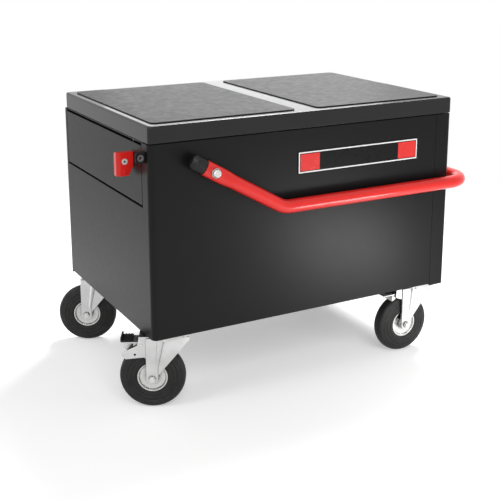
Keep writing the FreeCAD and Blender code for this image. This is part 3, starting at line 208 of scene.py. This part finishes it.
def tyre_material():
    """Rubber with dusty raised parts and fine moulding marks."""
    mat, tree, bsdf = new_material("tyre_rubber")
    dust = noise(tree, 40.0, 6.0, 0.7)
    tree.links.new(ramp(tree, dust, [(0.35, (0.010, 0.010, 0.010)), (0.75, (0.022, 0.0215, 0.021))]),
                   bsdf.inputs["Base Color"])
    tree.links.new(span(tree, noise(tree, 90.0), 0.48, 0.66), bsdf.inputs["Roughness"])
    fine = noise(tree, 1400.0, 2.0)
    tree.links.new(bump(tree, fine, 0.00008, 0.7, soft_edges(tree, 0.0008)), bsdf.inputs["Normal"])
    bsdf.inputs["Specular IOR Level"].default_value = 0.25
    return mat


def brushed_material(name, base, rough):
    """Turned metal with fine lines round it."""
    mat, tree, bsdf = new_material(name)
    lines = noise(tree, 900.0, 2.0, 0.5, (0.15, 0.15, 1.0))
    colour = ramp(tree, lines, [(0.3, shade(base, 0.85)), (0.7, base)])
    # painted shade in folds and joins, over the turned lines
    tree.links.new(painted_crease_shade(tree, colour, 0.016), bsdf.inputs["Base Color"])
    tree.links.new(span(tree, lines, rough - 0.06, rough + 0.1), bsdf.inputs["Roughness"])
    tree.links.new(bump(tree, lines, 0.00002, 1.0, soft_edges(tree, 0.0006)), bsdf.inputs["Normal"])
    bsdf.inputs["Metallic"].default_value = 1.0
    return mat


mat_rubber = mat_rubber_material()
tyre_rubber = tyre_material()
turned_zinc = brushed_material("turned_zinc", (0.68, 0.68, 0.67), 0.24)
plate_black = finish_material("plate_black", (0.004, 0.004, 0.0045), 0.3, peel_scale=300.0, peel=0.000001,
                              edge=0.0003, specular=0.15)
plate_white = finish_material("plate_white", (0.80, 0.80, 0.79), 0.3, spread=0.03, peel_scale=300.0,
                              peel=0.00001, edge=0.0002)
plate_red = finish_material("plate_red", (0.66, 0.016, 0.012), 0.24, spread=0.04, peel_scale=300.0,
                            peel=0.000001, edge=0.0002)

looks = {
    "front_left_panel": powder_black, "back_right_panel": powder_black, "drawer_front": powder_black,
    "floor_pan": inner_black, "base_channels": inner_black, "top_frame": inner_black,
    "drawer_housing": inner_black, "drawer_tray": inner_black, "lid_stiffeners": inner_black,
    "lid_pan": lid_black, "lid_mat_left": mat_rubber, "lid_mat_right": mat_rubber,
    "lid_seal": seal_rubber, "handle_rest_pad": seal_rubber, "hinge_leaf_body": powder_black,
    "hinge_leaf_lid": powder_black, "hinge_pin": bright_zinc, "hinge_rivets_body": zinc,
    "hinge_rivets_lid": zinc, "handle_tube": red_paint, "handle_plugs": black_plastic,
    "handle_bushes": black_plastic, "pivot_bolts": bright_zinc, "pivot_spacers": black_plastic,
    "handle_pivot_plates": powder_black, "handle_rest": powder_black, "security_eye": powder_black,
    "security_eyelet": dark_zinc, "name_plate": plate_black, "lock_housing": red_paint,
    "lock_cylinder": white_metal, "lock_rivet": red_paint, "lock_bolt": zinc,
    "drawer_runners_fixed": zinc, "drawer_runners_moving": zinc, "caster_top_plates": zinc,
    "caster_ball_cages": bright_zinc, "caster_king_pins": bright_zinc, "caster_bolts": bright_zinc,
}
for name, obj in nodes.items():
    if name.startswith("fork_") or name.startswith("brake_pedal_"):
        look = zinc
    elif name.startswith("rim_"):
        look = turned_zinc
    elif name.startswith("axle_"):
        look = bright_zinc
    elif name.startswith("tyre_"):
        look = tyre_rubber
    elif name.startswith("brake_pad_"):
        look = black_plastic
    else:
        look = looks[name]
    if not obj.material_slots:
        obj.data.materials.append(look)
    for slot in obj.material_slots:
        slot.material = look


# extra pieces
art_edge = 0.0001
art_sink, art_rise = 0.0001, 0.0003
border_margin, border_width = 0.0032, 0.0034
block_inset, block_width = 0.0052, 0.058
# size of the black disc and slot put in the keyhole as painted shade for its hollow bore
keyhole_shade_depth, keyhole_shade_radius, keyhole_shade_mouth = 0.0012, 0.0021, 0.0025
slot_half_length, slot_half_height, slot_depth = 0.0018, 0.0003, 0.0009


def add_mesh(name, bm, look, body):
    mesh = bpy.data.meshes.new(name)
    bm.to_mesh(mesh)
    bm.free()
    obj = bpy.data.objects.new(name, mesh)
    scene.collection.objects.link(obj)
    mesh.materials.append(look)
    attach(obj, body)


def block(bm, low, high):
    """A block added to the mesh, its edges bevelled."""
    made = bmesh.ops.create_cube(bm, size=1.0)["verts"]
    low, high = Vector(low), Vector(high)
    middle, size = (low + high) / 2, high - low
    for v in made:
        v.co = v.co * size + middle
    edges = list({e for v in made for e in v.link_edges})
    bmesh.ops.bevel(bm, geom=edges, offset=art_edge, segments=2, affect="EDGES")


def plate_art():
    """Border and end blocks of the plain plate, as thin raised pieces in its groove."""
    low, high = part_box("name_plate")
    y0, y1 = low.y - art_sink, low.y + art_rise
    x0, x1 = low.x + border_margin, high.x - border_margin
    z0, z1 = low.z + border_margin, high.z - border_margin
    w = border_width
    border = bmesh.new()
    block(border, (x0, y0, z0), (x1, y1, z0 + w))
    block(border, (x0, y0, z1 - w), (x1, y1, z1))
    block(border, (x0, y0, z0 + w), (x0 + w, y1, z1 - w))
    block(border, (x1 - w, y0, z0 + w), (x1, y1, z1 - w))
    add_mesh("plate_border", border, plate_white, "chassis")
    ends = bmesh.new()
    for start in (x0 + block_inset, x1 - block_inset - block_width):
        block(ends, (start, y0, z0 + block_inset), (start + block_width, y1, z1 - block_inset))
    add_mesh("plate_blocks", ends, plate_red, "chassis")


def keyhole_shade():
    """Black disc with a slot at the bottom of the key cylinder's mouth, painted shade that darkens the
    hollow keyhole.
    """
    low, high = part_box("lock_cylinder")
    x, z = (low.x + high.x) / 2, (low.z + high.z) / 2
    y = low.y + keyhole_shade_depth
    bm = bmesh.new()
    bmesh.ops.create_cone(bm, cap_ends=True, segments=32, radius1=keyhole_shade_mouth, radius2=keyhole_shade_radius,
                          depth=keyhole_shade_depth)
    bmesh.ops.rotate(bm, verts=bm.verts, cent=(0, 0, 0), matrix=Matrix.Rotation(math.radians(90), 3, "X"))
    bmesh.ops.translate(bm, verts=bm.verts, vec=(x, y, z))
    block(bm, (x - slot_half_length, y - slot_depth, z - slot_half_height),
          (x + slot_half_length, y, z + slot_half_height))
    add_mesh("keyhole_shade", bm, black_plastic, "key_cylinder")


plate_art()
keyhole_shade()


# floor and background
floor_size = 40.0
floor_drop = 0.0004
floor_tone = (0.82, 0.82, 0.82, 1)
floor_glow = 0.36
fade_start, fade_end = 0.9, 2.2
soft_world = 0.36


def seen_rays(tree):
    """One for rays that see the background: straight, in a mirror or through glass."""
    path = tree.nodes.new("ShaderNodeLightPath")
    value = path.outputs["Is Camera Ray"]
    for other in ("Is Glossy Ray", "Is Transmission Ray"):
        either = tree.nodes.new("ShaderNodeMath")
        either.operation = "MAXIMUM"
        tree.links.new(value, either.inputs[0])
        tree.links.new(path.outputs[other], either.inputs[1])
        value = either.outputs[0]
    return value


def white_shader(tree, kind, strength):
    node = tree.nodes.new(kind)
    node.inputs["Color"].default_value = (1, 1, 1, 1)
    node.inputs["Strength"].default_value = strength
    return node


def mix_into(tree, factor, first, second, out):
    mix = tree.nodes.new("ShaderNodeMixShader")
    tree.links.new(factor, mix.inputs[0])
    tree.links.new(first.outputs[0], mix.inputs[1])
    tree.links.new(second.outputs[0], mix.inputs[2])
    tree.links.new(mix.outputs[0], out.inputs[0])


def floor_material():
    """Pale floor that fades into the white background away from the object."""
    mat = bpy.data.materials.new("pale_floor")
    mat.use_nodes = True
    tree = mat.node_tree
    tree.nodes.clear()
    out = tree.nodes.new("ShaderNodeOutputMaterial")
    diffuse = tree.nodes.new("ShaderNodeBsdfDiffuse")
    diffuse.inputs["Color"].default_value = floor_tone
    glow = white_shader(tree, "ShaderNodeEmission", floor_glow)
    seen = seen_rays(tree)
    near = tree.nodes.new("ShaderNodeMath")
    near.operation = "MULTIPLY"
    near.inputs[1].default_value = floor_glow
    tree.links.new(seen, near.inputs[0])
    tree.links.new(near.outputs[0], glow.inputs["Strength"])
    both = tree.nodes.new("ShaderNodeAddShader")
    tree.links.new(diffuse.outputs[0], both.inputs[0])
    tree.links.new(glow.outputs[0], both.inputs[1])
    coord = tree.nodes.new("ShaderNodeTexCoord")
    reach = tree.nodes.new("ShaderNodeVectorMath")
    reach.operation = "LENGTH"
    tree.links.new(coord.outputs["Object"], reach.inputs[0])
    fade = tree.nodes.new("ShaderNodeMath")
    fade.operation = "MULTIPLY"
    tree.links.new(span(tree, reach.outputs["Value"], 0.0, 1.0, fade_start, fade_end), fade.inputs[0])
    tree.links.new(seen, fade.inputs[1])
    white = white_shader(tree, "ShaderNodeEmission", 1.0)
    mix_into(tree, fade.outputs[0], both, white, out)
    return mat


def add_floor():
    bm = bmesh.new()
    bmesh.ops.create_grid(bm, x_segments=2, y_segments=2, size=floor_size)
    mesh = bpy.data.meshes.new("floor")
    bm.to_mesh(mesh)
    bm.free()
    floor = bpy.data.objects.new("floor", mesh)
    scene.collection.objects.link(floor)
    floor.location.z = cad_low.z - floor_drop
    mesh.materials.append(floor_material())


def add_world():
    """Soft light for the object, plain white where the background is seen."""
    world = bpy.data.worlds.new("studio")
    scene.world = world
    world.use_nodes = True
    tree = world.node_tree
    tree.nodes.clear()
    out = tree.nodes.new("ShaderNodeOutputWorld")
    soft = white_shader(tree, "ShaderNodeBackground", soft_world)
    white = white_shader(tree, "ShaderNodeBackground", 1.0)
    mix_into(tree, seen_rays(tree), soft, white, out)


def area_light(name, place, target, size, power):
    data = bpy.data.lights.new(name, "AREA")
    data.shape = "RECTANGLE"
    data.size, data.size_y = size
    data.energy = power
    obj = bpy.data.objects.new(name, data)
    scene.collection.objects.link(obj)
    obj.location = place
    obj.rotation_euler = (Vector(target) - Vector(place)).to_track_quat("-Z", "Y").to_euler()
    return obj


add_floor()
add_world()
area_light("key", (2.0, 1.7, 4.2), (0, 0, 0.3), (1.5, 1.5), 260.0)
area_light("front_fill", (-1.2, -3.6, 3.0), (0.0, -0.3, 0.4), (2.2, 1.6), 70.0)
front_glow = area_light("front_glow", (0.5, -0.92, 0.15), (0.06, -0.3, 0.33), (0.34, 0.2), 3.0)
front_glow.visible_camera = False
back_strip = area_light("back_strip", (1.15, 2.2, 1.16), (0.0, 0.0, 0.73), (1.5, 0.6), 3.2)
back_strip.visible_camera = False
area_light("left_fill", (-3.2, -0.6, 2.3), (-0.45, 0, 0.5), (1.2, 2.0), 30.0)


# camera
camera_place = (-1.3077, -2.3409, 1.1615)
camera_yaw, camera_pitch = math.radians(28.801), math.radians(13.709)
photo_width_pixels = 500.0
focal_length_pixels = 968.4
sensor_width_mm = 36.0

camera_data = bpy.data.cameras.new("camera")
camera = bpy.data.objects.new("camera", camera_data)
scene.collection.objects.link(camera)
scene.camera = camera
camera.location = camera_place
look_along = Vector((math.sin(camera_yaw) * math.cos(camera_pitch),
                     math.cos(camera_yaw) * math.cos(camera_pitch), -math.sin(camera_pitch)))
camera.rotation_euler = look_along.to_track_quat("-Z", "Y").to_euler()
camera_data.sensor_width = sensor_width_mm
camera_data.lens = focal_length_pixels / photo_width_pixels * sensor_width_mm
camera_data.shift_x = -0.001
camera_data.shift_y = -0.15
camera_data.clip_start = 0.05
camera_data.clip_end = 200.0

scene.view_settings.view_transform = "Standard"
